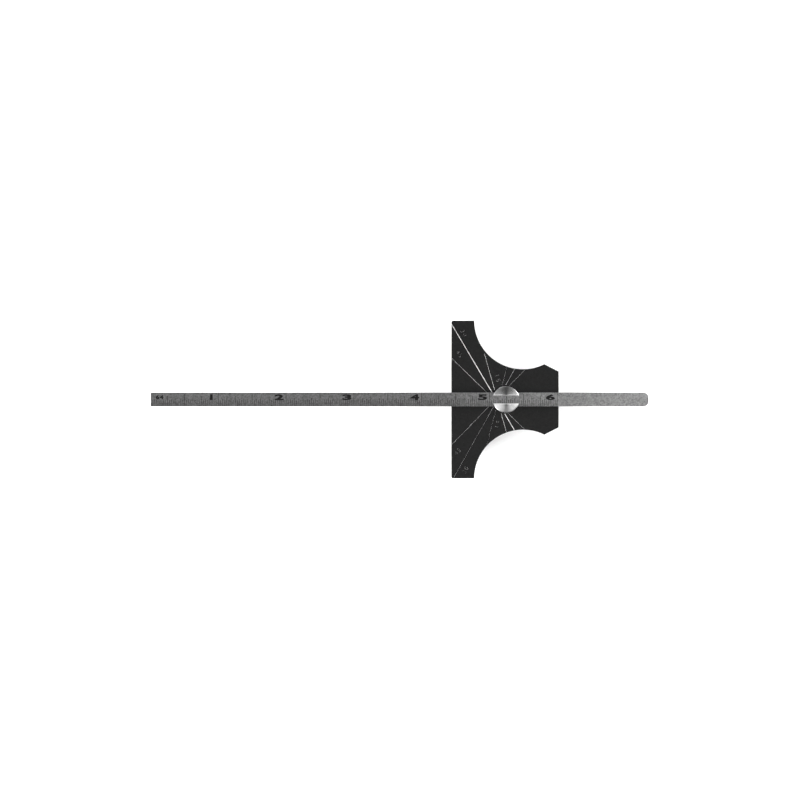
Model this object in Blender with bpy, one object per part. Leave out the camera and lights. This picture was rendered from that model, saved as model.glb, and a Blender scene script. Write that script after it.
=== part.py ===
"""Depth and angle gauge: a narrow rule held by a slotted turret clamp in a flat head with two round bites.

Frame, in metres: the origin is the middle of the working face, the long straight edge of the head that
sits on the work. +X runs from that face through the head to its tail, so the rule's zero end points to
-X. +Y runs along the working face. +Z points out of the front, where the rule lies, and the clamp nut is
on the back.
"""

from math import atan2, cos, pi, radians, sin, sqrt, tau

import bmesh
import bpy

# Head plate
HEAD_LENGTH = 0.0592
HEAD_WIDTH = 0.0402
HEAD_THICKNESS = 0.0032
BITE_RADIUS = 0.01825
BITE_CENTRE_X = 0.0268
TAIL_FACE_LENGTH = 0.0210
TAIL_BEVEL_ANGLE = radians(27)
ARM_CORNER = 0.0005
HEAD_EDGE_BREAK = 0.0002
PIVOT_X = 0.0204

# Rule
RULE_LENGTH = 0.1866
RULE_WIDTH = 0.0052
RULE_THICKNESS = 0.0012
RULE_REACH = 0.1128
ZERO_CORNER = 0.0003
TAIL_CORNER_RADIUS = 0.0017
RULE_EDGE_BREAK = 0.0001

# Clamp stud: a round turret with a T-slot for the rule, on a threaded shank
TURRET_DIAMETER = 0.0099
TURRET_DEPTH = 0.0017
SLOT_FLOOR_DROP = 0.00025
LIP_OVERLAP = 0.0011
LIP_HEIGHT = 0.0009
CROWN_RISE = 0.00035
TURRET_RIM_BREAK = 0.00025
SHANK_DIAMETER = 0.0039
SHANK_RECESS = 0.0003
SHANK_CHAMFER = 0.0003

# Thrust washer
WASHER_DIAMETER = 0.0110
WASHER_THICKNESS = 0.0008

# Clamp nut
NUT_DIAMETER = 0.0127
NUT_COLLAR_STEP = 0.00105
NUT_COLLAR_HEIGHT = 0.0009
NUT_KNURL_HEIGHT = 0.0047
NUT_WEB = 0.0028
NUT_CHAMFER = 0.0006
KNURL_TEETH = 40
KNURL_DEPTH = 0.0003

# Friction spring, in the nut's pocket
SPRING_WIRE = 0.0006
SPRING_DIAMETER = 0.0068
SPRING_TURNS = 2.75
CLOSED_TURN = 0.75

# Clearances
SEAT_GAP = 0.0001
TURRET_CLEARANCE = 0.00008
TURRET_FLOOR_GAP = 0.0003
SHANK_CLEARANCE = 0.0001
RULE_SIDE_CLEARANCE = 0.0001
SPRING_CLEARANCE = 0.0004
BORE_MOUTH_CHAMFER = 0.0002

# Fineness of round shapes
ROUND_STEPS = 96
BITE_STEPS = 72
CORNER_STEPS = 8
CROWN_STEPS = 8
COIL_STEPS_PER_TURN = 24

# Levels up the stack, from the head's own faces
FRONT = HEAD_THICKNESS / 2
BACK = -FRONT
RULE_BOTTOM = FRONT + SEAT_GAP
RULE_TOP = RULE_BOTTOM + RULE_THICKNESS
LIP_BOTTOM = RULE_TOP + SEAT_GAP
LIP_TOP = LIP_BOTTOM + LIP_HEIGHT
CROWN_TOP = LIP_TOP + CROWN_RISE
SLOT_FLOOR = FRONT - SLOT_FLOOR_DROP
TURRET_BOTTOM = FRONT - TURRET_DEPTH
COUNTERBORE_FLOOR = TURRET_BOTTOM - TURRET_FLOOR_GAP
WASHER_TOP = BACK - SEAT_GAP
WASHER_BOTTOM = WASHER_TOP - WASHER_THICKNESS
NUT_TOP = WASHER_BOTTOM - SEAT_GAP
NUT_BOTTOM = NUT_TOP - NUT_COLLAR_HEIGHT - NUT_KNURL_HEIGHT
POCKET_FLOOR = NUT_BOTTOM + NUT_WEB
SHANK_END = NUT_BOTTOM + SHANK_RECESS
OVERCUT = 0.001

BLACK_STEEL = ("black_oxide_steel", (0.022, 0.022, 0.023), 0.55)
RULE_STEEL = ("satin_rule_steel", (0.42, 0.42, 0.42), 0.38)
TURNED_STEEL = ("turned_bright_steel", (0.72, 0.72, 0.72), 0.22)
PLATED_STEEL = ("plated_steel", (0.62, 0.61, 0.60), 0.28)
SPRING_STEEL = ("spring_steel", (0.45, 0.45, 0.46), 0.35)


def clear_scene():
    for obj in list(bpy.data.objects):
        bpy.data.objects.remove(obj)


def steel(name, colour, roughness):
    material = bpy.data.materials.new(name)
    material.use_nodes = True
    shader = material.node_tree.nodes["Principled BSDF"]
    shader.inputs["Base Color"].default_value = (*colour, 1)
    shader.inputs["Metallic"].default_value = 1
    shader.inputs["Roughness"].default_value = roughness
    return material


def new_object(name, data, finish=None, parent=None):
    obj = bpy.data.objects.new(name, data)
    bpy.context.scene.collection.objects.link(obj)
    obj.parent = parent
    if finish:
        data.materials.append(steel(*finish))
    return obj


def new_empty(name, location, parent=None):
    empty = new_object(name, None, parent=parent)
    empty.location = location
    return empty


def mesh_of(name, bm):
    """The bmesh as a mesh, welded, facing out, and smooth but for its real edges."""
    bmesh.ops.remove_doubles(bm, verts=bm.verts, dist=1e-7)
    bmesh.ops.recalc_face_normals(bm, faces=bm.faces)
    mesh = bpy.data.meshes.new(name)
    bm.to_mesh(mesh)
    bm.free()
    mesh.shade_smooth()
    mesh.set_sharp_from_angle(angle=radians(30))
    return mesh


def arc(centre, radius, start, end, steps):
    """Points round a circle from angle start to angle end, both included."""
    turn = (end - start) / steps
    return [
        (centre[0] + radius * cos(start + turn * i), centre[1] + radius * sin(start + turn * i))
        for i in range(steps + 1)
    ]


def slab(name, outline, low, high, edge_break):
    """A flat plate of that outline, its face edges broken by a small bevel."""
    bm = bmesh.new()
    face = bm.faces.new([bm.verts.new((x, y, low)) for x, y in outline])
    raised = bmesh.ops.extrude_face_region(bm, geom=[face])["geom"]
    top = [g for g in raised if isinstance(g, bmesh.types.BMVert)]
    bmesh.ops.translate(bm, verts=top, vec=(0, 0, high - low))
    bmesh.ops.recalc_face_normals(bm, faces=bm.faces)
    if edge_break:
        rims = [e for e in bm.edges if e.verts[0].co.z == e.verts[1].co.z]
        bmesh.ops.bevel(
            bm, geom=rims, offset=edge_break, segments=1, profile=0.5, affect="EDGES", material=-1
        )
    return mesh_of(name, bm)


def lathe(name, profile, steps=ROUND_STEPS):
    """A turned solid: the (radius, height) profile spun about Z."""
    bm = bmesh.new()
    points = [bm.verts.new((r, 0, z)) for r, z in profile]
    edges = [bm.edges.new(pair) for pair in zip(points, points[1:])]
    if profile[0][0] > 0:
        edges.append(bm.edges.new((points[-1], points[0])))
    bmesh.ops.spin(
        bm, geom=points + edges, axis=(0, 0, 1), cent=(0, 0, 0), angle=tau, steps=steps, use_merge=True
    )
    return mesh_of(name, bm)


def cut(obj, cutter):
    """Takes the cutter's shape out of obj, and hides the cutter."""
    cutter.parent = obj.parent
    cutter.hide_render = True
    cutter.display_type = "WIRE"
    boolean = obj.modifiers.new("cut_" + cutter.name, "BOOLEAN")
    boolean.operation = "DIFFERENCE"
    boolean.solver = "EXACT"
    boolean.object = cutter


def bar(name, length, width, low, high):
    """A square-edged bar along X, centred on the pivot, used as a slot cutter."""
    half_length, half_width = length / 2, width / 2
    corners = [
        (-half_length, -half_width), (half_length, -half_width),
        (half_length, half_width), (-half_length, half_width),
    ]
    return new_object(name, slab(name, corners, low, high, 0))


def corner_cut(before, corner, after, size):
    """The two points that replace a sharp corner with a flat of that setback."""
    points = []
    for other in (before, after):
        dx, dy = other[0] - corner[0], other[1] - corner[1]
        share = size / sqrt(dx * dx + dy * dy)
        points.append((corner[0] + dx * share, corner[1] + dy * share))
    return points


def bite_end_angle():
    """Angle round the lower bite's centre at which its circle meets the tail's sloping corner."""
    slope_x, slope_y = -cos(TAIL_BEVEL_ANGLE), -sin(TAIL_BEVEL_ANGLE)
    from_x = HEAD_WIDTH - BITE_CENTRE_X
    from_y = HEAD_LENGTH / 2 - TAIL_FACE_LENGTH / 2
    half_b = from_x * slope_x + from_y * slope_y
    c = from_x**2 + from_y**2 - BITE_RADIUS**2
    along = -half_b - sqrt(half_b**2 - c)
    return atan2(from_y + along * slope_y, from_x + along * slope_x)


def head_outline():
    """The head's outline, anticlockwise: working face, arms, two round bites and the bevelled tail."""
    half = HEAD_LENGTH / 2
    heel = (0, -half)
    arm_end = (BITE_CENTRE_X - BITE_RADIUS, -half)
    bite = arc((BITE_CENTRE_X, -half), BITE_RADIUS, pi, bite_end_angle(), BITE_STEPS)
    lower = corner_cut((0, 0), heel, arm_end, ARM_CORNER)
    lower += corner_cut(heel, arm_end, bite[1], ARM_CORNER)[:1]
    lower += bite[1:]
    lower.append((HEAD_WIDTH, -TAIL_FACE_LENGTH / 2))
    return lower + [(x, -y) for x, y in reversed(lower)]


def build_head(parent):
    plate = new_object(
        "head_plate", slab("head_plate", head_outline(), BACK, FRONT, HEAD_EDGE_BREAK), BLACK_STEEL, parent
    )
    bore = TURRET_DIAMETER / 2 + TURRET_CLEARANCE
    hole = SHANK_DIAMETER / 2 + SHANK_CLEARANCE
    mouth = bore + BORE_MOUTH_CHAMFER
    cutter = new_object("pivot_bore_cutter", lathe("pivot_bore_cutter", [
        (0, BACK - OVERCUT),
        (hole, BACK - OVERCUT),
        (hole, COUNTERBORE_FLOOR),
        (bore, COUNTERBORE_FLOOR),
        (bore, FRONT - BORE_MOUTH_CHAMFER),
        (mouth, FRONT),
        (mouth, FRONT + OVERCUT),
        (0, FRONT + OVERCUT),
    ]))
    cut(plate, cutter)
    cutter.location = (PIVOT_X, 0, 0)
    return plate


def rule_outline():
    """The rule's outline from above: square at the zero end, rounded at the tail."""
    half = RULE_WIDTH / 2
    zero = -RULE_REACH - PIVOT_X
    tail = zero + RULE_LENGTH
    centre_x, centre_y = tail - TAIL_CORNER_RADIUS, half - TAIL_CORNER_RADIUS
    lower = corner_cut((zero, 0), (zero, -half), (tail, -half), ZERO_CORNER)
    lower += arc((centre_x, -centre_y), TAIL_CORNER_RADIUS, -pi / 2, 0, CORNER_STEPS)
    return lower + [(x, -y) for x, y in reversed(lower)]


def build_rule(parent):
    mesh = slab("rule", rule_outline(), RULE_BOTTOM, RULE_TOP, RULE_EDGE_BREAK)
    return new_object("rule", mesh, RULE_STEEL, parent)


def crown(rim_radius):
    """The turret's shallow dome, from its middle out to the rim, as (radius, height)."""
    sphere = (rim_radius**2 + CROWN_RISE**2) / (2 * CROWN_RISE)
    centre = CROWN_TOP - sphere
    radii = [rim_radius * i / CROWN_STEPS for i in range(CROWN_STEPS + 1)]
    return [(r, centre + sqrt(sphere**2 - r * r)) for r in radii]


def build_stud(parent):
    radius, shank = TURRET_DIAMETER / 2, SHANK_DIAMETER / 2
    profile = crown(radius - TURRET_RIM_BREAK) + [
        (radius, LIP_TOP - TURRET_RIM_BREAK),
        (radius, TURRET_BOTTOM + TURRET_RIM_BREAK),
        (radius - TURRET_RIM_BREAK, TURRET_BOTTOM),
        (shank, TURRET_BOTTOM),
        (shank, SHANK_END + SHANK_CHAMFER),
        (shank - SHANK_CHAMFER, SHANK_END),
        (0, SHANK_END),
    ]
    stud = new_object("clamp_stud", lathe("clamp_stud", profile), TURNED_STEEL, parent)
    through = TURRET_DIAMETER + 2 * OVERCUT
    slot = RULE_WIDTH + 2 * RULE_SIDE_CLEARANCE
    window = RULE_WIDTH - 2 * LIP_OVERLAP
    cut(stud, bar("rule_slot_cutter", through, slot, SLOT_FLOOR, LIP_BOTTOM))
    cut(stud, bar("lip_window_cutter", through, window, RULE_TOP - SEAT_GAP, CROWN_TOP + OVERCUT))
    return stud


def build_washer(parent):
    outer, inner = WASHER_DIAMETER / 2, SHANK_DIAMETER / 2 + SHANK_CLEARANCE
    profile = [(inner, WASHER_BOTTOM), (outer, WASHER_BOTTOM), (outer, WASHER_TOP), (inner, WASHER_TOP)]
    return new_object("thrust_washer", lathe("thrust_washer", profile), PLATED_STEEL, parent)


def pocket_radius():
    return SPRING_DIAMETER / 2 + SPRING_CLEARANCE


def cut_knurl(mesh, rim_radius):
    """Sinks every second line of the turned rim, which leaves straight V teeth."""
    root_share = (rim_radius - KNURL_DEPTH) / rim_radius
    for vertex in mesh.vertices:
        x, y, z = vertex.co
        line = round(atan2(y, x) * KNURL_TEETH / pi)
        on_rim = abs(sqrt(x * x + y * y) - rim_radius) < 1e-6
        if on_rim and line % 2:
            vertex.co = (x * root_share, y * root_share, z)
    mesh.set_sharp_from_angle(angle=radians(30))


def build_nut(parent):
    outer = NUT_DIAMETER / 2
    collar = outer - NUT_COLLAR_STEP
    thread, pocket = SHANK_DIAMETER / 2 + SHANK_CLEARANCE, pocket_radius()
    shoulder = NUT_TOP - NUT_COLLAR_HEIGHT
    profile = [
        (thread, POCKET_FLOOR),
        (thread, NUT_BOTTOM),
        (outer - NUT_CHAMFER, NUT_BOTTOM),
        (outer, NUT_BOTTOM + NUT_CHAMFER),
        (outer, shoulder - NUT_CHAMFER),
        (outer - NUT_CHAMFER, shoulder),
        (collar, shoulder),
        (collar, NUT_TOP),
        (pocket, NUT_TOP),
        (pocket, POCKET_FLOOR),
    ]
    mesh = lathe("clamp_nut", profile, 2 * KNURL_TEETH)
    cut_knurl(mesh, outer)
    return new_object("clamp_nut", mesh, PLATED_STEEL, parent)


def spring_height(turn, low, high):
    """Height of the wire's middle at that many turns: closed end turns, then an open middle."""
    closed_rise = CLOSED_TURN * (SPRING_WIRE + SEAT_GAP)
    open_turns = SPRING_TURNS - 2 * CLOSED_TURN
    open_rise = high - low - 2 * closed_rise
    if turn < CLOSED_TURN:
        return low + closed_rise * turn / CLOSED_TURN
    if turn > SPRING_TURNS - CLOSED_TURN:
        return high - closed_rise * (SPRING_TURNS - turn) / CLOSED_TURN
    return low + closed_rise + open_rise * (turn - CLOSED_TURN) / open_turns


def build_spring(parent):
    low = POCKET_FLOOR + SEAT_GAP + SPRING_WIRE / 2
    high = WASHER_BOTTOM - SEAT_GAP - SPRING_WIRE / 2
    middle = (SPRING_DIAMETER - SPRING_WIRE) / 2
    curve = bpy.data.curves.new("friction_spring", "CURVE")
    curve.dimensions = "3D"
    curve.bevel_depth = SPRING_WIRE / 2
    curve.bevel_resolution = 2
    curve.use_fill_caps = True
    steps = round(SPRING_TURNS * COIL_STEPS_PER_TURN)
    spline = curve.splines.new("POLY")
    spline.points.add(steps)
    for i, point in enumerate(spline.points):
        turn = SPRING_TURNS * i / steps
        angle = tau * turn
        point.co = (middle * cos(angle), middle * sin(angle), spring_height(turn, low, high), 1)
    return new_object("friction_spring", curve, SPRING_STEEL, parent)


def main():
    clear_scene()
    head = new_empty("head", (0, 0, 0))
    turret = new_empty("turret_axis", (PIVOT_X, 0, 0), head)
    build_head(head)
    build_stud(turret)
    build_rule(turret)
    build_washer(turret)
    build_spring(turret)
    build_nut(turret)


main()
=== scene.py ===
from math import asin, atan2, cos, pi, radians, sin, sqrt, tan, tau

import bmesh
import bpy
from mathutils import Matrix, Vector


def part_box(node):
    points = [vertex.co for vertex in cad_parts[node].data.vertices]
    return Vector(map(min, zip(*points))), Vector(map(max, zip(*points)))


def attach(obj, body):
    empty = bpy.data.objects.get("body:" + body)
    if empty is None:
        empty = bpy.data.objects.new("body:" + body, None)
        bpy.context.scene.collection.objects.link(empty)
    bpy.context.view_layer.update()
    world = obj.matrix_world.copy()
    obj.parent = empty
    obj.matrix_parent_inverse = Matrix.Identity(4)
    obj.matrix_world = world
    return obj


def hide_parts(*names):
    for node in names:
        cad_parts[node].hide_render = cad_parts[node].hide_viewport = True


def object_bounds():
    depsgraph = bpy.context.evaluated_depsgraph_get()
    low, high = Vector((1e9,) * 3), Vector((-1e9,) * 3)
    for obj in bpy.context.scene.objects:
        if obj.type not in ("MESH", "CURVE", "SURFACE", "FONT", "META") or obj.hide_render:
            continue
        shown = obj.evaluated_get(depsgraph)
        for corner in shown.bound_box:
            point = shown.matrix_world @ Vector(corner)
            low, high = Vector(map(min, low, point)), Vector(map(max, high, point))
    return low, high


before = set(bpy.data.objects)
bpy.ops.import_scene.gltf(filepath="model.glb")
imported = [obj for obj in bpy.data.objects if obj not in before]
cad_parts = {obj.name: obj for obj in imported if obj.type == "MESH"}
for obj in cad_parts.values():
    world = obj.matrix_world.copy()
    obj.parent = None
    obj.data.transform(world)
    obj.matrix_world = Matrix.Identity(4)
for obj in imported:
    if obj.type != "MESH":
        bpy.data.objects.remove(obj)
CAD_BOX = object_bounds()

MM = 0.001
SAME_PLACE = 1e-6  # metres within which two places count as the same
MERGE_DISTANCE = 1e-7  # metres within which two points become one
OVERRUN = 1.0 * MM  # how far a cutter runs past the face that it cuts
FAR = 1.0  # metres, well past every edge of the plate

# Places and sizes read from the frame
HEAD_LOW, HEAD_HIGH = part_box("head_plate")
RULE_LOW, RULE_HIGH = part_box("rule")
STUD_LOW, STUD_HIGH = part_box("clamp_stud")
WASHER_LOW, WASHER_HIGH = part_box("thrust_washer")
NUT_LOW, NUT_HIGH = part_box("clamp_nut")
SPRING_LOW, SPRING_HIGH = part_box("friction_spring")
PIVOT = Vector(((NUT_LOW.x + NUT_HIGH.x) / 2, 0, 0))
FRONT, BACK = HEAD_HIGH.z, HEAD_LOW.z

# Head plate
BITE_RADIUS = 18.25 * MM
BITE_CENTRE = Vector((26.8 * MM, HEAD_HIGH.y, 0))
TAIL_FACE_HALF = 10.5 * MM
TAIL_BEVEL_ANGLE = radians(27)
WEDGE_BEYOND, WEDGE_INWARD, WEDGE_OUTWARD = 4 * MM, 11 * MM, 14 * MM  # cuts a bevel of the tail
ARM_CORNER = 0.5 * MM
PLATE_EDGE = 0.09 * MM
BORE_RADIUS = 5.08 * MM
BORE_MOUTH = 0.1 * MM
BORE_DEPTH = 2.0 * MM
SHANK_HOLE_RADIUS = 2.05 * MM

# Angle lines scribed on the head
SCRIBED_ANGLES = (15, 30, 45)
FALLING_OFFSET = 3.12 * MM
RISING_OFFSET = 2.70 * MM
SCRIBE_TURN = radians(0.65)
SCRIBE_START_RADIUS = 5.45 * MM
SCRIBE_END_MARGIN = 0.25 * MM
SHORT_SCRIBE_MARGIN = 2.2 * MM
SCRIBE_WALL = radians(30)
SCRIBE_WIDTHS = {  # millimetres, by angle and by whether the half line goes left and up
    (15, True, True): 0.07, (30, True, True): 0.165, (45, True, True): 0.053,
    (15, False, False): 0.063, (30, False, False): 0.15, (45, False, False): 0.034,
    (15, False, True): 0.02, (30, False, True): 0.075, (45, False, True): 0.048,
    (15, True, False): 0.016, (30, True, False): 0.04, (45, True, False): 0.043,
}
SHORT_SCRIBE = (15, True, True)
HEAD_NUMERALS = [  # text, x and y in millimetres, turn in degrees
    ("30", 4.6, 24.9, -60), ("45", 2.8, 17.1, -45), ("15", 17.3, 7.9, -75),
    ("30", 5.2, -26.4, 60), ("45", 2.2, -19.6, 45), ("15", 17.4, -9.2, 75),
]
HEAD_NUMERAL_SIZE = (2.4 * MM, 1.55 * MM)
HEAD_NUMERAL_BOLD = -0.015
STAMP_DEPTH = 0.05 * MM

# Rule
INCH = 25.4 * MM
ZERO_CORNER = 0.3 * MM
TAIL_CORNER = 2.0 * MM
RULE_EDGE = 0.05 * MM
GRADUATION_WIDTH = 0.14 * MM
FINE_GRADUATION_WIDTH = 0.08 * MM
GRADUATION_DEPTH = 0.03 * MM
GRADUATION_LENGTHS = {2: 4.7 * MM, 4: 3.8 * MM, 8: 3.1 * MM, 16: 2.75 * MM, 32: 2.4 * MM}
FINEST_GRADUATION = 1.35 * MM
NUMERAL_DEPTH = 0.04 * MM
SCALE_INCHES = 6
INCH_NUMERAL_WIDTH = 3.4 * MM
ONE_WIDTH = 1.0 * MM
INCH_NUMERAL_HEIGHT = 2.15 * MM
INCH_NUMERAL_BACKSET = 2.6 * MM
PARTS_NUMERAL_SIZE = (2.9 * MM, 1.55 * MM)
PARTS_NUMERAL_OFFSET = 3.4 * MM
RULE_NUMERAL_LIFT = 0.85 * MM
RULE_NUMERAL_BOLD = 0.05
NUMERAL_RESOLUTION = 3  # finer outlines of a bold 3 cross themselves
NUMERAL_SPACING = 1.25

# Clamp
TURRET_RADIUS = (STUD_HIGH.x - STUD_LOW.x) / 2
TURRET_BOTTOM = FRONT - 1.7 * MM
CROWN_RISE = 0.35 * MM
TURRET_RIM = 0.12 * MM
CROWN_FOOT = STUD_HIGH.z - CROWN_RISE - TURRET_RIM
SLOT_FLOOR = FRONT - 0.25 * MM
SLOT_SIDE_CLEARANCE = 0.1 * MM
SEAT_GAP = 0.1 * MM
LIP_OVERLAP = 1.1 * MM
LIP_CHAMFER = 0.5 * MM
LIP_CHAMFER_DROP = 0.04 * MM
SLOT_EDGE = 0.05 * MM
SHANK_RADIUS = 1.95 * MM
THREAD_PITCH = 0.7 * MM
THREAD_DEPTH = 0.3 * MM
CREST_END, ROOT_START, ROOT_END = 0.12, 0.46, 0.58  # shares of the pitch
SHANK_TIP_CHAMFER = 0.3 * MM
SHANK_TIP_FLAT = 0.5 * MM
WASHER_EDGE = 0.12 * MM
NUT_COLLAR_RADIUS = 5.3 * MM
NUT_COLLAR_HEIGHT = 0.9 * MM
NUT_WEB = 2.8 * MM
NUT_CHAMFER = 0.6 * MM
NUT_EDGE = 0.1 * MM
NUT_BORE_CHAMFER = 0.35 * MM
NUT_FOOT_RUN, NUT_FOOT_RISE = 0.25 * MM, 0.05 * MM
NUT_NECK_DEPTH, NUT_NECK_HEIGHT = 0.2 * MM, 0.3 * MM
NUT_POCKET_RADIUS = 3.8 * MM
KNURL_TEETH = 40
KNURL_DEPTH = 0.3 * MM
KNURL_FLANK_SHARE = 0.35
WIRE_RADIUS = 0.3 * MM
WIRE_SIDES = 16
SPRING_TURNS = 2.75
CLOSED_TURN = 0.75
COIL_STEPS = 48
RINGS_PER_MM = 5.0

# Studio
FLOOR_RADIUS = 0.62
FLOOR_DROP = 0.05 * MM
VIEW_WIDTH = 299.7 * MM
VIEW_CENTRE = (-19.33 * MM, -0.2 * MM)
LENS_MM = 100
SENSOR_MM = 36
WALL_TOP, CEILING_EDGE, CEILING_LEVEL = 0.25, 0.85, 0.15


# Shaders ---------------------------------------------------------------------------------------


def feed(tree, entry, value):
    """Links a signal to a node's input, or sets a plain value there."""
    if isinstance(value, Signal):
        tree.links.new(value.socket, entry)
    else:
        entry.default_value = value


class Signal:
    """A shader socket that takes part in Python expressions, each of which adds its Math node."""

    def __init__(self, tree, socket):
        self.tree = tree
        self.socket = socket

    def math(self, operation, *values):
        """Adds the Math node that works on the given values, or on this signal alone."""
        node = self.tree.nodes.new("ShaderNodeMath")
        node.operation = operation
        for entry, value in zip(node.inputs, values or (self,)):
            feed(self.tree, entry, value)
        return Signal(self.tree, node.outputs[0])

    def __add__(self, other):
        return self.math("ADD", self, other)

    def __sub__(self, other):
        return self.math("SUBTRACT", self, other)

    def __mul__(self, other):
        return self.math("MULTIPLY", self, other)

    def __truediv__(self, other):
        return self.math("DIVIDE", self, other)

    def __radd__(self, other):
        return self.math("ADD", other, self)

    def __rsub__(self, other):
        return self.math("SUBTRACT", other, self)

    def __rmul__(self, other):
        return self.math("MULTIPLY", other, self)

    def __rtruediv__(self, other):
        return self.math("DIVIDE", other, self)


class Finish:
    """One material: its node tree, its shader, and one method that adds any other node."""

    def __init__(self, name, metallic=1.0):
        self.material = bpy.data.materials.new(name)
        self.material.use_nodes = True
        self.tree = self.material.node_tree
        self.shader = self.tree.nodes["Principled BSDF"]
        self.shader.inputs["Metallic"].default_value = metallic

    def node(self, kind, settings=None, sockets=None, output=0):
        """Adds any node: its settings first, then the values or links of its sockets."""
        node = self.tree.nodes.new("ShaderNode" + kind)
        for key, value in (settings or {}).items():
            if key == "stops":
                self.set_stops(node.color_ramp, value)
            else:
                setattr(node, key, value)
        for key, value in (sockets or {}).items():
            feed(self.tree, node.inputs[key], value)
        return Signal(self.tree, node.outputs[output])

    def set_stops(self, ramp, stops):
        """Gives a ramp its stops, as (place, grey level)."""
        while len(ramp.elements) < len(stops):
            ramp.elements.new(1.0)
        for element, (place, level) in zip(ramp.elements, stops):
            element.position = place
            element.color = (level, level, level, 1)

    def place(self, centre=(0, 0, 0), scale=(1, 1, 1)):
        """Object coordinates in millimetres from a centre given in metres, then scaled."""
        here = self.node("TexCoord", output="Object")
        shift = self.node("VectorMath", {"operation": "SUBTRACT"}, {0: here, 1: tuple(centre)})
        per_mm = tuple(1000.0 * s for s in scale)
        return self.node("VectorMath", {"operation": "MULTIPLY"}, {0: shift, 1: per_mm})

    def noise(self, vector, scale, detail=4.0, roughness=0.55):
        return self.node(
            "TexNoise",
            sockets={"Vector": vector, "Scale": scale, "Detail": detail, "Roughness": roughness},
        )

    def ramp(self, signal, *stops):
        return self.node("ValToRGB", {"stops": stops}, {"Fac": signal})

    def axis_distance(self, centre):
        """Distance in millimetres from the clamp's upright axis."""
        flat = self.place(centre, (1, 1, 0))
        return self.node("VectorMath", {"operation": "LENGTH"}, {0: flat}, "Value")

    def finish(self, grey, roughness, height, depth):
        """Feeds the shader a grey level, a roughness and a relief of the given depth."""
        feed(self.tree, self.shader.inputs["Base Color"], grey)
        feed(self.tree, self.shader.inputs["Roughness"], roughness)
        bump = self.node("Bump", sockets={"Height": height, "Strength": 1.0, "Distance": depth})
        feed(self.tree, self.shader.inputs["Normal"], bump)
        return self.material


def black_oxide():
    """Nearly matt black oxide over ground steel, rubbed a little along the working face."""
    f = Finish("black_oxide_finish")
    grain = f.noise(f.place(), 5.5, 6.0, 0.65)
    blotch = f.noise(f.place(), 0.32, 3.0)
    grinding = f.noise(f.place(scale=(9.0, 0.35, 2.0)), 1.0, 3.0)
    across = f.node("SeparateXYZ", sockets={"Vector": f.place()}, output="X")
    rub = f.ramp(across, (0.0, 1.0), (0.22, 0.0)) * f.ramp(grain, (0.48, 0.0), (0.68, 1.0))
    speck = f.ramp(f.noise(f.place(), 2.6, 2.0), (0.70, 0.0), (0.76, 1.0))
    pits = f.noise(f.place(), 1.5, 3.0, 0.7)
    level = 0.0085 + 0.011 * grain + 0.005 * blotch + 0.016 * pits + 0.04 * rub + 0.03 * speck
    roughness = 0.46 + 0.10 * grain - 0.06 * blotch - 0.12 * rub
    return f.finish(level, roughness, grain + 0.5 * grinding + pits, 0.006 * MM)


def scribed_steel():
    """Bare steel at the bottom of a scribed line."""
    f = Finish("scribed_line_finish")
    chatter = f.ramp(f.noise(f.place(), 0.9, 4.0, 0.7), (0.38, 0.45), (0.62, 1.0))
    return f.finish(chatter, 0.5 - 0.2 * chatter, chatter, 0.01 * MM)


def stamped_oxide():
    """The worn floor of a stamped numeral."""
    f = Finish("stamped_numeral_finish")
    wear = f.ramp(f.noise(f.place(), 1.7, 2.0), (0.44, 0.0), (0.60, 1.0))
    level = 0.02 + 0.30 * wear
    return f.finish(level, 0.5 - 0.1 * wear, wear, 0.01 * MM)


def rule_steel():
    """Satin steel brushed along the rule, with faint handling marks; painted sheen lightens its
    tail.
    """
    f = Finish("satin_rule_finish")
    brushed = f.noise(f.place(scale=(0.05, 14.0, 14.0)), 1.0, 5.0, 0.7)
    cloud = f.noise(f.place(scale=(0.35, 0.8, 1.0)), 0.6, 4.0)
    grain = f.noise(f.place(), 1.5, 4.0, 0.8)
    mottle = f.ramp(grain, (0.35, 0.0), (0.65, 1.0))
    # Painted sheen: the rule is made lighter towards its tail, standing in for the brighter
    # reflection there.
    along = f.node("SeparateXYZ", sockets={"Vector": f.place(scale=(0.01, 1.0, 1.0))}, output="X")
    painted_tail_sheen = f.ramp(along, (0.0, 0.0), (0.60, 1.0))
    level = (0.05 + 0.12 * brushed + 0.06 * cloud + 0.17 * mottle) * (1.0 + 0.62 * painted_tail_sheen)
    roughness = 0.28 + 0.12 * brushed + 0.06 * mottle
    return f.finish(level, roughness, brushed + mottle, 0.005 * MM)


def etched_black():
    """Black filling in the rule's etched lines and numerals."""
    f = Finish("black_filling", 0.0)
    f.shader.inputs["Specular IOR Level"].default_value = 0.05
    fill = f.noise(f.place(), 3.5, 4.0, 0.6)
    return f.finish(0.002 + 0.012 * fill, 0.55 + 0.2 * fill, fill, 0.01 * MM)


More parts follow.
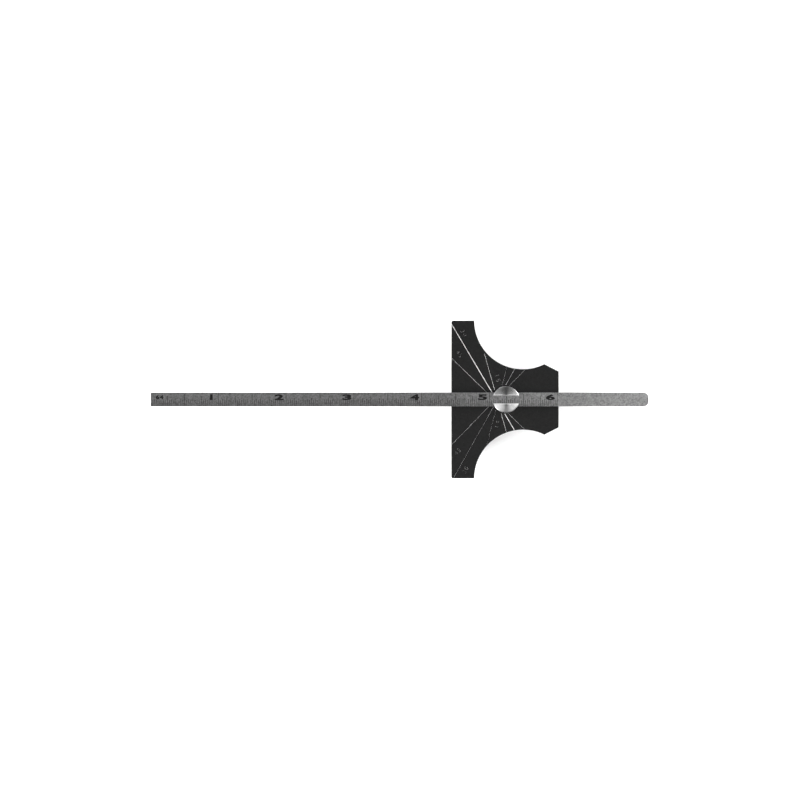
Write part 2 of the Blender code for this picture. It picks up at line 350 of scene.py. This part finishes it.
def turned_steel(name, tone, roughness, centre, painted_shade_above):
    """Steel turned in a lathe, with fine rings about the clamp's axis.

    Faces above the given height get painted shade in two sectors, either side of the slot.
    """
    f = Finish(name)
    radius = f.axis_distance(centre)
    ring_place = f.node("CombineXYZ", sockets={"X": radius * RINGS_PER_MM})
    rings = f.noise(ring_place, 1.0, 4.0, 0.75)
    cloud = f.noise(f.place(), 0.5, 3.0)
    grain = f.noise(f.place(), 4.0, 3.0, 0.6)
    here = f.place(centre)
    across = f.node("SeparateXYZ", sockets={"Vector": here}, output="X").math("ABSOLUTE")
    height = f.node("SeparateXYZ", sockets={"Vector": here}, output="Z")
    # Painted shade: the two dark sectors stand in for the dark bands of a turned face's bow-tie
    # reflection.
    sector = f.ramp(across / radius + 0.3 * cloud - 0.15, (0.10, 1.0), (0.85, 0.0))
    painted_bowtie_shade = sector * f.ramp(height - painted_shade_above / MM, (0.0, 0.0), (0.05, 1.0))
    level = tone * (0.80 + 0.24 * rings + 0.10 * cloud + 0.06 * grain) * (1.0 - 0.76 * painted_bowtie_shade)
    rough = roughness + 0.12 * rings + 0.05 * cloud
    return f.finish(level, rough, rings + 0.2 * grain, 0.0015 * MM)


def spring_wire_steel():
    """Drawn spring wire, dark with die marks."""
    f = Finish("spring_wire_finish")
    drawn = f.noise(f.place(scale=(1.0, 1.0, 6.0)), 2.5, 4.0, 0.7)
    return f.finish(0.28 + 0.3 * drawn, 0.28 + 0.2 * drawn, drawn, 0.004 * MM)


def backdrop_paper():
    """Plain white paper on a light table, which lifts the gauge's shadow."""
    f = Finish("backdrop_paper", 0.0)
    f.shader.inputs["Emission Color"].default_value = (1, 1, 1, 1)
    f.shader.inputs["Emission Strength"].default_value = 0.12
    tooth = f.noise(f.place(), 0.8, 3.0)
    return f.finish(0.88 + 0.04 * tooth, 0.9, tooth, 0.01 * MM)


# Mesh tools ------------------------------------------------------------------------------------


def new_object(name, mesh, *materials):
    obj = bpy.data.objects.new(name, mesh)
    bpy.context.scene.collection.objects.link(obj)
    for material in materials:
        mesh.materials.append(material)
    return obj


def mesh_of(name, bm):
    """The bmesh as a mesh, merged and facing out."""
    bmesh.ops.remove_doubles(bm, verts=bm.verts, dist=MERGE_DISTANCE)
    bmesh.ops.recalc_face_normals(bm, faces=bm.faces)
    mesh = bpy.data.meshes.new(name)
    bm.to_mesh(mesh)
    bm.free()
    return mesh


def add_block(bm, low, high):
    """A box between two corners, added to the bmesh."""
    low, high = Vector(low), Vector(high)
    matrix = Matrix.Translation((low + high) / 2) @ Matrix.Diagonal((*(high - low), 1))
    return bmesh.ops.create_cube(bm, size=1, matrix=matrix)["verts"]


def block(name, low, high, *materials):
    """A box as an object of its own."""
    bm = bmesh.new()
    add_block(bm, low, high)
    return new_object(name, mesh_of(name, bm), *materials)


def round_corners(bm, x, radius, segments):
    """Rounds the upright edges that stand at one x."""
    corners = [
        e for e in bm.edges
        if abs(e.verts[0].co.z - e.verts[1].co.z) > SAME_PLACE
        and all(abs(v.co.x - x) < SAME_PLACE for v in e.verts)
    ]
    bmesh.ops.bevel(
        bm, geom=corners, offset=radius, segments=segments, profile=0.5, affect="EDGES", material=-1
    )


def spin_profile(bm, profile, steps):
    """Turns the (radius, height) profile about the clamp's axis."""
    points = [bm.verts.new((PIVOT.x + r, 0, z)) for r, z in profile]
    edges = [bm.edges.new(pair) for pair in zip(points, points[1:])]
    if profile[0][0] > 0:
        edges.append(bm.edges.new((points[-1], points[0])))
    bmesh.ops.spin(
        bm, geom=points + edges, axis=(0, 0, 1), cent=PIVOT, angle=tau, steps=steps, use_merge=True
    )


def turned(name, profile, *materials, steps=160):
    """A lathe-turned piece as an object of its own."""
    bm = bmesh.new()
    spin_profile(bm, profile, steps)
    return new_object(name, mesh_of(name, bm), *materials)


def settle(piece, *cutters):
    """Applies the piece's modifiers to its mesh, in millimetres so that small features hold."""
    for obj in (piece, *cutters):
        obj.data.transform(Matrix.Scale(1 / MM, 4))
        obj.data.update()
    bpy.context.view_layer.update()
    evaluated = piece.evaluated_get(bpy.context.evaluated_depsgraph_get())
    mesh = bpy.data.meshes.new_from_object(evaluated)
    mesh.transform(Matrix.Scale(MM, 4))
    piece.modifiers.clear()
    piece.data = mesh


def carve(piece, *cutters):
    """Cuts the cutters out of the piece for good. A cut face wears the cutter's material."""
    for cutter in cutters:
        boolean = piece.modifiers.new(cutter.name, "BOOLEAN")
        boolean.operation = "DIFFERENCE"
        boolean.solver = "MANIFOLD"
        boolean.material_mode = "TRANSFER"
        boolean.object = cutter
    settle(piece, *cutters)
    for cutter in cutters:
        bpy.data.objects.remove(cutter)


def round_edges(piece, width, segments=3):
    """Breaks the piece's sharp edges, for good."""
    bevel = piece.modifiers.new("edges", "BEVEL")
    bevel.limit_method = "ANGLE"
    bevel.angle_limit = radians(35)
    bevel.width = width / MM
    bevel.segments = segments
    settle(piece)


def shade(piece, angle=radians(40)):
    """Smooth shading that keeps real edges sharp and flat faces flat."""
    piece.data.shade_smooth()
    piece.data.set_sharp_from_angle(angle=angle)
    weighted = piece.modifiers.new("weighted_normals", "WEIGHTED_NORMAL")
    weighted.keep_sharp = True
    weighted.weight = 80


def numeral_cutter(name, text, centre, size, depth, material, turn=0.0, back=False, bold=0.0):
    """A solid numeral of a (width, height), sunk in a flat face and centred on a point of it."""
    curve = bpy.data.curves.new(name, "FONT")
    curve.body = text
    curve.align_x = "CENTER"
    curve.align_y = "CENTER"
    curve.size = 1.0
    curve.offset = bold
    curve.space_character = NUMERAL_SPACING
    curve.extrude = 0.5
    curve.resolution_u = NUMERAL_RESOLUTION
    text_object = new_object(name + "_text", curve)
    bpy.context.view_layer.update()
    evaluated = text_object.evaluated_get(bpy.context.evaluated_depsgraph_get())
    mesh = bpy.data.meshes.new_from_object(evaluated)
    bpy.data.objects.remove(text_object)
    bm = bmesh.new()
    bm.from_mesh(mesh)
    low = Vector([min(v.co[i] for v in bm.verts) for i in range(3)])
    high = Vector([max(v.co[i] for v in bm.verts) for i in range(3)])
    wider, taller = size[0] / (high.x - low.x), size[1] / (high.y - low.y)
    flip = Matrix.Rotation(pi, 4, "X") if back else Matrix()
    matrix = (
        Matrix.Translation(centre)
        @ flip
        @ Matrix.Rotation(turn, 4, "Z")
        @ Matrix.Diagonal((wider, taller, 2 * depth, 1))
        @ Matrix.Translation(-(low + high) / 2)
    )
    bmesh.ops.transform(bm, matrix=matrix, verts=bm.verts)
    return new_object(name, mesh_of(name, bm), material)


def join(name, pieces):
    """One object from several that don't touch."""
    bm = bmesh.new()
    for piece in pieces:
        bm.from_mesh(piece.data)
    material = pieces[0].data.materials[0]
    for piece in pieces:
        bpy.data.objects.remove(piece)
    return new_object(name, mesh_of(name, bm), material)


# Head plate ------------------------------------------------------------------------------------


def bite_cutter(name, side, material):
    """The round finger bite on one side, +1 or -1."""
    bm = bmesh.new()
    centre = Vector((BITE_CENTRE.x, side * BITE_CENTRE.y, 0))
    bmesh.ops.create_cone(
        bm, cap_ends=True, segments=256, radius1=BITE_RADIUS, radius2=BITE_RADIUS,
        depth=4 * (FRONT - BACK), matrix=Matrix.Translation(centre),
    )
    return new_object(name, mesh_of(name, bm), material)


def tail_cutter(name, side, material):
    """The block that bevels one of the tail's corners."""
    slope = Matrix.Rotation(-side * TAIL_BEVEL_ANGLE, 4, "Z")
    corner = Vector((HEAD_HIGH.x, side * TAIL_FACE_HALF, 0))
    low = (-WEDGE_INWARD, min(0, side * WEDGE_OUTWARD), -2 * FRONT)
    high = (WEDGE_BEYOND, max(0, side * WEDGE_OUTWARD), 2 * FRONT)
    bm = bmesh.new()
    wedge = add_block(bm, low, high)
    bmesh.ops.transform(bm, matrix=Matrix.Translation(corner) @ slope, verts=wedge)
    return new_object(name, mesh_of(name, bm), material)


def bore_cutter(material):
    """The hole for the shank and the wider seat for the turret, broken at its mouth."""
    return turned("bore_cutter", [
        (0, 2 * BACK),
        (SHANK_HOLE_RADIUS, 2 * BACK),
        (SHANK_HOLE_RADIUS, FRONT - BORE_DEPTH),
        (BORE_RADIUS, FRONT - BORE_DEPTH),
        (BORE_RADIUS, FRONT - BORE_MOUTH),
        (BORE_RADIUS + BORE_MOUTH, FRONT),
        (BORE_RADIUS + BORE_MOUTH, 2 * FRONT),
        (0, 2 * FRONT),
    ], material)


def scribed_lines():
    """Each half line as (foot, direction, angle), on the plate's front.

    Both lines of a pair pass the pivot on the side of the working face, so that the rule's edge
    lies along one of them when the head is turned to its angle. A falling line runs down from
    left to right.
    """
    lines = []
    for side in (1, -1):
        for angle in SCRIBED_ANGLES:
            lean = radians(angle) + side * SCRIBE_TURN
            outward = Vector((-sin(lean), side * cos(lean), 0))
            beside = Vector((-cos(lean), -side * sin(lean), 0))
            foot = PIVOT + beside * (FALLING_OFFSET if side > 0 else RISING_OFFSET)
            lines.append((foot, outward, angle))
            lines.append((foot, -outward, angle))
    return lines


def scribe_length(foot, direction):
    """How far a scribed line runs before it leaves the plate, and whether at the working face."""
    bite = Vector((BITE_CENTRE.x, BITE_CENTRE.y if direction.y > 0 else -BITE_CENTRE.y, 0))
    to_bite = bite - foot
    along = to_bite.dot(direction)
    gap = BITE_RADIUS**2 - (to_bite.length_squared - along**2)
    bite_run = along - sqrt(gap) if gap > 0 else FAR
    face_run = -foot.x / direction.x if direction.x < 0 else FAR
    return (face_run, True) if face_run < bite_run else (bite_run, False)


def scribe_cutter(material):
    """A long bar on its corner, flattened to the groove's walls, for each scribed line."""
    bm = bmesh.new()
    for foot, direction, angle in scribed_lines():
        half = (angle, direction.x < 0, direction.y > 0)
        width = SCRIBE_WIDTHS[half] * MM
        margin = SHORT_SCRIBE_MARGIN if half == SHORT_SCRIBE else SCRIBE_END_MARGIN
        run, at_face = scribe_length(foot, direction)
        start = sqrt(SCRIBE_START_RADIUS**2 - (foot - PIVOT).length_squared)
        end = run + (OVERRUN if at_face else -margin)
        side = width / sqrt(2)
        heading = Matrix.Rotation(atan2(direction.y, direction.x), 4, "Z")
        matrix = (
            Matrix.Translation(foot + Vector((0, 0, FRONT)))
            @ heading
            @ Matrix.Translation(((start + end) / 2, 0, 0))
            @ Matrix.Diagonal((1, 1, tan(SCRIBE_WALL), 1))
            @ Matrix.Rotation(pi / 4, 4, "X")
            @ Matrix.Diagonal((end - start, side, side, 1))
        )
        bmesh.ops.create_cube(bm, size=1, matrix=matrix)
    return new_object("scribe_cutter", mesh_of("scribe_cutter", bm), material)


def head_numeral_cutter(material):
    pieces = [
        numeral_cutter(
            f"head_numeral_{i}", text, Vector((x * MM, y * MM, FRONT)),
            HEAD_NUMERAL_SIZE, STAMP_DEPTH, material, turn=radians(turn), bold=HEAD_NUMERAL_BOLD,
        )
        for i, (text, x, y, turn) in enumerate(HEAD_NUMERALS)
    ]
    return join("head_numeral_cutter", pieces)


def make_head(oxide, scribed, stamped):
    bm = bmesh.new()
    add_block(bm, HEAD_LOW, HEAD_HIGH)
    bmesh.ops.recalc_face_normals(bm, faces=bm.faces)
    round_corners(bm, HEAD_LOW.x, ARM_CORNER, 3)
    head = new_object("head", mesh_of("head", bm), oxide)
    carve(head, bite_cutter("upper_bite", 1, oxide), bite_cutter("lower_bite", -1, oxide))
    carve(head, tail_cutter("upper_tail", 1, oxide), tail_cutter("lower_tail", -1, oxide))
    round_edges(head, PLATE_EDGE)
    carve(head, bore_cutter(oxide))
    carve(head, scribe_cutter(scribed))
    carve(head, head_numeral_cutter(stamped))
    shade(head)
    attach(head, "head")
    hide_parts("head_plate")


# Rule ------------------------------------------------------------------------------------------


def graduation_length(index, per_inch):
    """Length of a graduation line, longer the rounder its fraction of an inch."""
    if index % per_inch == 0:
        return RULE_HIGH.y - RULE_LOW.y
    for parts, length in GRADUATION_LENGTHS.items():
        if parts <= per_inch and index % (per_inch // parts) == 0:
            return length
    return FINEST_GRADUATION


def graduation_cutter(name, per_inch, face, material):
    """All the lines of one side's scale, from the lower edge of the face as it is read."""
    surface = RULE_HIGH.z if face > 0 else RULE_LOW.z
    bm = bmesh.new()
    for index in range(1, SCALE_INCHES * per_inch + 1):
        x = RULE_LOW.x + index * INCH / per_inch
        length = graduation_length(index, per_inch)
        whole_inch = index % per_inch == 0
        y_low, y_high = RULE_LOW.y - OVERRUN, RULE_HIGH.y + OVERRUN
        if face > 0 and not whole_inch:
            y_high = RULE_LOW.y + length
        elif not whole_inch:
            y_low = RULE_HIGH.y - length
        width = GRADUATION_WIDTH if length > FINEST_GRADUATION else FINE_GRADUATION_WIDTH
        add_block(
            bm,
            (x - width / 2, y_low, surface - GRADUATION_DEPTH),
            (x + width / 2, y_high, surface + GRADUATION_DEPTH),
        )
    return new_object(name, mesh_of(name, bm), material)


def rule_numeral_cutter(name, face, material):
    """The inch numbers, each just before its line, and the number of parts at the zero end."""
    surface = RULE_HIGH.z if face > 0 else RULE_LOW.z
    lift = RULE_NUMERAL_LIFT * face
    pieces = []
    for inch in range(1, SCALE_INCHES + 1):
        centre = Vector((RULE_LOW.x + inch * INCH - INCH_NUMERAL_BACKSET, lift, surface))
        size = (ONE_WIDTH if inch == 1 else INCH_NUMERAL_WIDTH, INCH_NUMERAL_HEIGHT)
        pieces.append(numeral_cutter(
            f"{name}_{inch}", str(inch), centre, size, NUMERAL_DEPTH, material,
            back=face < 0, bold=RULE_NUMERAL_BOLD,
        ))
    parts = "64" if face > 0 else "32"
    centre = Vector((RULE_LOW.x + PARTS_NUMERAL_OFFSET, lift, surface))
    pieces.append(numeral_cutter(
        f"{name}_parts", parts, centre, PARTS_NUMERAL_SIZE, NUMERAL_DEPTH, material,
        back=face < 0, bold=RULE_NUMERAL_BOLD,
    ))
    return join(name, pieces)


def make_rule(steel, black):
    bm = bmesh.new()
    add_block(bm, RULE_LOW, RULE_HIGH)
    bmesh.ops.recalc_face_normals(bm, faces=bm.faces)
    round_corners(bm, RULE_LOW.x, ZERO_CORNER, 2)
    round_corners(bm, RULE_HIGH.x, TAIL_CORNER, 12)
    rule = new_object("steel_rule", mesh_of("steel_rule", bm), steel)
    round_edges(rule, RULE_EDGE, 2)
    carve(rule, graduation_cutter("front_graduations", 64, 1, black))
    carve(rule, rule_numeral_cutter("front_numerals", 1, black))
    carve(rule, graduation_cutter("back_graduations", 32, -1, black))
    carve(rule, rule_numeral_cutter("back_numerals", -1, black))
    shade(rule)
    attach(rule, "rule")
    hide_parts("rule")


# Clamp -----------------------------------------------------------------------------------------


def crown(rim_radius, rim_height, rise, points=14):
    """A shallow dome from the axis out to its rim, as (radius, height)."""
    sphere = (rim_radius**2 + rise**2) / (2 * rise)
    widest = asin(rim_radius / sphere)
    centre = rim_height + rise - sphere
    angles = [widest * i / points for i in range(points + 1)]
    return [(sphere * sin(a), centre + sphere * cos(a)) for a in angles]


def thread_profile(radius, top, bottom):
    """A shank's outline with thread crests and roots, from top to bottom."""
    profile = []
    turns = int((top - bottom - THREAD_PITCH) / THREAD_PITCH)
    for i in range(turns):
        z = top - THREAD_PITCH * (i + 0.5)
        profile += [
            (radius, z),
            (radius, z - CREST_END * THREAD_PITCH),
            (radius - THREAD_DEPTH, z - ROOT_START * THREAD_PITCH),
            (radius - THREAD_DEPTH, z - ROOT_END * THREAD_PITCH),
        ]
    return profile + [(radius, top - THREAD_PITCH * (turns + 0.5))]


def lip_chamfer_cutter(half_window, steel):
    """A bar lying on its corner, which slopes both lips' upper edges towards the window."""
    depth = half_window + LIP_CHAMFER
    side = 2 * depth * sqrt(2)
    bottom = STUD_HIGH.z - LIP_CHAMFER_DROP - depth
    bm = bmesh.new()
    matrix = (
        Matrix.Translation((PIVOT.x, 0, bottom + 2 * depth))
        @ Matrix.Rotation(pi / 4, 4, "X")
        @ Matrix.Diagonal((4 * TURRET_RADIUS, side, side, 1))
    )
    bmesh.ops.create_cube(bm, size=1, matrix=matrix)
    return new_object("lip_chamfer_cutter", mesh_of("lip_chamfer_cutter", bm), steel)


def make_stud(steel):
    lip_top = STUD_HIGH.z - CROWN_RISE
    end = STUD_LOW.z
    profile = crown(TURRET_RADIUS - TURRET_RIM, lip_top, CROWN_RISE) + [
        (TURRET_RADIUS - 0.3 * TURRET_RIM, lip_top - 0.3 * TURRET_RIM),
        (TURRET_RADIUS, lip_top - TURRET_RIM),
        (TURRET_RADIUS, TURRET_BOTTOM + TURRET_RIM),
        (TURRET_RADIUS - TURRET_RIM, TURRET_BOTTOM),
        (SHANK_RADIUS, TURRET_BOTTOM),
        (SHANK_RADIUS, BACK),
        *thread_profile(SHANK_RADIUS, BACK, end),
        (SHANK_RADIUS, end + SHANK_TIP_CHAMFER),
        (SHANK_RADIUS - SHANK_TIP_CHAMFER, end),
        (SHANK_TIP_FLAT, end),
        (0, end + SHANK_TIP_CHAMFER),
    ]
    stud = turned("slotted_clamp_stud", profile, steel, steps=192)
    half_slot = RULE_HIGH.y + SLOT_SIDE_CLEARANCE
    half_window = RULE_HIGH.y - LIP_OVERLAP
    reach = TURRET_RADIUS + OVERRUN
    lip_bottom = RULE_HIGH.z + SEAT_GAP
    slot = block(
        "slot_cutter",
        (PIVOT.x - reach, -half_slot, SLOT_FLOOR), (PIVOT.x + reach, half_slot, lip_bottom), steel,
    )
    window = block(
        "window_cutter",
        (PIVOT.x - reach, -half_window, lip_bottom - SEAT_GAP),
        (PIVOT.x + reach, half_window, STUD_HIGH.z + OVERRUN), steel,
    )
    carve(stud, slot, window, lip_chamfer_cutter(half_window, steel))
    round_edges(stud, SLOT_EDGE, 2)
    shade(stud)
    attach(stud, "turret")
    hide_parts("clamp_stud")


def make_washer(steel):
    inner, outer = SHANK_HOLE_RADIUS, (WASHER_HIGH.x - WASHER_LOW.x) / 2
    washer = turned("clamp_washer", [
        (inner, WASHER_LOW.z), (outer, WASHER_LOW.z), (outer, WASHER_HIGH.z), (inner, WASHER_HIGH.z),
    ], steel)
    round_edges(washer, WASHER_EDGE)
    shade(washer)
    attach(washer, "turret")
    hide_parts("thrust_washer")


def make_nut(steel):
    outer = (NUT_HIGH.x - NUT_LOW.x) / 2
    bottom, top = NUT_LOW.z, NUT_HIGH.z
    shoulder = top - NUT_COLLAR_HEIGHT
    pocket_floor = bottom + NUT_WEB
    hole, neck = SHANK_HOLE_RADIUS, NUT_COLLAR_RADIUS - NUT_NECK_DEPTH
    profile = [
        (hole, pocket_floor),
        (hole, bottom + NUT_BORE_CHAMFER),
        (hole + NUT_BORE_CHAMFER, bottom),
        (outer - NUT_CHAMFER - NUT_FOOT_RUN, bottom),
        (outer - NUT_CHAMFER, bottom + NUT_FOOT_RISE),
        (outer, bottom + NUT_CHAMFER),
        (outer, shoulder - NUT_CHAMFER),
        (outer - NUT_CHAMFER, shoulder),
        (neck, shoulder),
        (neck, shoulder + NUT_NECK_HEIGHT),
        (NUT_COLLAR_RADIUS, shoulder + NUT_NECK_HEIGHT + NUT_EDGE),
        (NUT_COLLAR_RADIUS, top - NUT_EDGE),
        (NUT_COLLAR_RADIUS - NUT_EDGE, top),
        (NUT_POCKET_RADIUS + NUT_EDGE, top),
        (NUT_POCKET_RADIUS, top - NUT_EDGE),
        (NUT_POCKET_RADIUS, pocket_floor),
    ]
    bm = bmesh.new()
    spin_profile(bm, profile, 4 * KNURL_TEETH)
    bmesh.ops.remove_doubles(bm, verts=bm.verts, dist=MERGE_DISTANCE)
    roots, flanks = [], []
    for vertex in bm.verts:
        offset = vertex.co - PIVOT
        # A tooth has four lines round the nut: its crest, a flank, the root and the other flank
        line = round(atan2(offset.y, offset.x) * 2 * KNURL_TEETH / pi)
        if abs(offset.xy.length - outer) < SAME_PLACE:
            if line % 4 == 2:
                roots.append(vertex)
            elif line % 2:
                flanks.append(vertex)
    about_axis = Matrix.Translation(-PIVOT)
    for vertices, depth in ((roots, KNURL_DEPTH), (flanks, KNURL_FLANK_SHARE * KNURL_DEPTH)):
        share = (outer - depth) / outer
        bmesh.ops.scale(bm, vec=(share, share, 1), space=about_axis, verts=vertices)
    nut = new_object("knurled_clamp_nut", mesh_of("knurled_clamp_nut", bm), steel)
    shade(nut, radians(25))
    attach(nut, "nut")
    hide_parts("clamp_nut")


def make_spring(steel):
    """A coil with two closed end turns and an open middle, spun in three stretches."""
    middle = (SPRING_HIGH.x - SPRING_LOW.x) / 2 - WIRE_RADIUS
    low, high = SPRING_LOW.z + WIRE_RADIUS, SPRING_HIGH.z - WIRE_RADIUS
    closed_rise = CLOSED_TURN * (2 * WIRE_RADIUS + SEAT_GAP)
    open_turns = SPRING_TURNS - 2 * CLOSED_TURN
    open_rise = high - low - 2 * closed_rise
    stretches = ((CLOSED_TURN, closed_rise), (open_turns, open_rise), (CLOSED_TURN, closed_rise))
    bm = bmesh.new()
    start = Matrix.Translation((PIVOT.x + middle, 0, low)) @ Matrix.Rotation(pi / 2, 4, "X")
    bmesh.ops.create_circle(
        bm, cap_ends=True, segments=WIRE_SIDES, radius=WIRE_RADIUS, matrix=start
    )
    geometry = list(bm.verts) + list(bm.edges) + list(bm.faces)
    for turns, rise in stretches:
        steps = round(COIL_STEPS * turns)
        spun = bmesh.ops.spin(
            bm, geom=geometry, cent=PIVOT, axis=(0, 0, 1), dvec=(0, 0, rise / steps),
            angle=turns * tau, steps=steps, use_duplicate=False,
        )
        geometry = spun["geom_last"]
    spring = new_object("friction_coil", mesh_of("friction_coil", bm), steel)
    shade(spring)
    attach(spring, "spring")
    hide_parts("friction_spring")


# Studio ---------------------------------------------------------------------------------------


def make_backdrop():
    bm = bmesh.new()
    bmesh.ops.create_circle(bm, cap_ends=True, segments=128, radius=FLOOR_RADIUS)
    bmesh.ops.translate(bm, verts=bm.verts, vec=(0, 0, CAD_BOX[0][2] - FLOOR_DROP))
    mesh = bpy.data.meshes.new("backdrop")
    bm.to_mesh(mesh)
    bm.free()
    new_object("backdrop", mesh, backdrop_paper())


def softbox(name, place, size, radiance, target=(0, 0, 0)):
    """A rectangular area light that faces a target."""
    light = bpy.data.lights.new(name, "AREA")
    light.shape = "RECTANGLE"
    light.size, light.size_y = size
    light.energy = radiance * pi * size[0] * size[1]
    obj = bpy.data.objects.new(name, light)
    bpy.context.scene.collection.objects.link(obj)
    obj.location = place
    obj.rotation_euler = (Vector(target) - Vector(place)).to_track_quat("-Z", "Y").to_euler()


def make_lights():
    softbox("key_softbox", (-0.55, -0.60, 0.50), (0.50, 0.50), 12.0)
    softbox("right_softbox", (0.75, 0.25, 0.42), (0.50, 0.50), 11.0)
    softbox("far_softbox", (-0.20, 0.85, 0.38), (0.50, 0.50), 7.0)
    softbox("left_softbox", (-0.85, 0.20, 0.40), (0.50, 0.50), 8.0)
    softbox("lip_softbox", (-0.02, -0.20, 0.72), (0.44, 0.20), 1.6)
    softbox("tail_softbox", (0.36, -0.04, 0.58), (0.16, 0.30), 2.4, (0.07, 0, 0))


def make_world():
    """Bright walls round the set and a dim ceiling over it."""
    world = bpy.data.worlds.new("studio")
    world.use_nodes = True
    bpy.context.scene.world = world
    tree = world.node_tree
    direction = tree.nodes.new("ShaderNodeTexCoord")
    split = tree.nodes.new("ShaderNodeSeparateXYZ")
    ramp = tree.nodes.new("ShaderNodeValToRGB")
    ramp.color_ramp.elements[0].position = WALL_TOP
    ramp.color_ramp.elements[0].color = (1, 1, 1, 1)
    ramp.color_ramp.elements[1].position = CEILING_EDGE
    ramp.color_ramp.elements[1].color = (CEILING_LEVEL, CEILING_LEVEL, CEILING_LEVEL, 1)
    tree.links.new(direction.outputs["Generated"], split.inputs[0])
    tree.links.new(split.outputs["Z"], ramp.inputs[0])
    tree.links.new(ramp.outputs[0], tree.nodes["Background"].inputs["Color"])


def make_camera():
    """Straight above the gauge, with the rule level across the frame."""
    data = bpy.data.cameras.new("camera")
    data.lens = LENS_MM
    data.sensor_width = SENSOR_MM
    camera = bpy.data.objects.new("camera", data)
    bpy.context.scene.collection.objects.link(camera)
    distance = VIEW_WIDTH * LENS_MM / SENSOR_MM
    camera.location = (*VIEW_CENTRE, RULE_HIGH.z + distance)
    bpy.context.scene.camera = camera
    bpy.context.scene.view_settings.view_transform = "Standard"


make_head(black_oxide(), scribed_steel(), stamped_oxide())
make_rule(rule_steel(), etched_black())
# The crown above CROWN_FOOT gets painted shade in two sectors either side of the slot.
make_stud(turned_steel("turned_finish", 0.86, 0.20, PIVOT, CROWN_FOOT))
plated = turned_steel("plated_finish", 0.62, 0.22, PIVOT, CROWN_FOOT)
make_washer(plated)
make_nut(plated)
make_spring(spring_wire_steel())
make_backdrop()
make_lights()
make_world()
make_camera()
